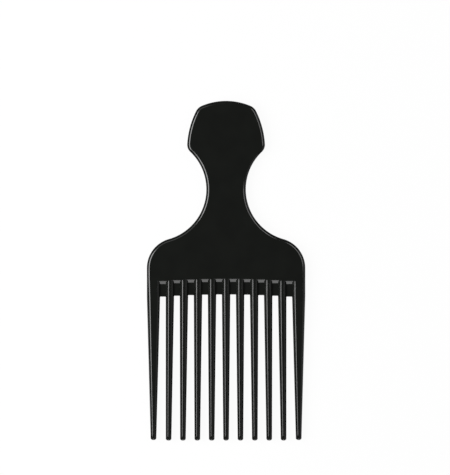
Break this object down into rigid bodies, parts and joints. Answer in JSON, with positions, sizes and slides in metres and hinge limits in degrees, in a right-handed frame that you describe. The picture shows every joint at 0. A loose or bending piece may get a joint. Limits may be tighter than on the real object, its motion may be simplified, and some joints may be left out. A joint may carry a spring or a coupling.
{
  "type": "afro pick",
  "caption": "Flat moulded hair pick with a waisted handle, round shoulders and a row of long, tapering, slightly splayed teeth for lifting and parting thick curly hair.",
  "frame": {"origin": "centre of the pick's outline, on its back face", "axes": "+X across the row of teeth, +Y along the pick towards the handle, +Z out of the front face"},
  "size_m": [0.079, 0.1694, 0.005],
  "materials": {
    "black_plastic": "glossy black moulded plastic"
  },
  "bodies": {
    "root": {"grip_head": "black_plastic", "neck": "black_plastic", "bridge": "black_plastic", "tooth_01": "black_plastic", "tooth_02": "black_plastic", "tooth_03": "black_plastic", "tooth_04": "black_plastic", "tooth_05": "black_plastic", "tooth_06": "black_plastic", "tooth_07": "black_plastic", "tooth_08": "black_plastic", "tooth_09": "black_plastic", "tooth_10": "black_plastic", "tooth_11": "black_plastic", "gullet_web_01": "black_plastic", "gullet_web_02": "black_plastic", "gullet_web_03": "black_plastic", "gullet_web_04": "black_plastic", "gullet_web_05": "black_plastic", "gullet_web_06": "black_plastic", "gullet_web_07": "black_plastic", "gullet_web_08": "black_plastic", "gullet_web_09": "black_plastic", "gullet_web_10": "black_plastic"}
  },
  "joints": []
}
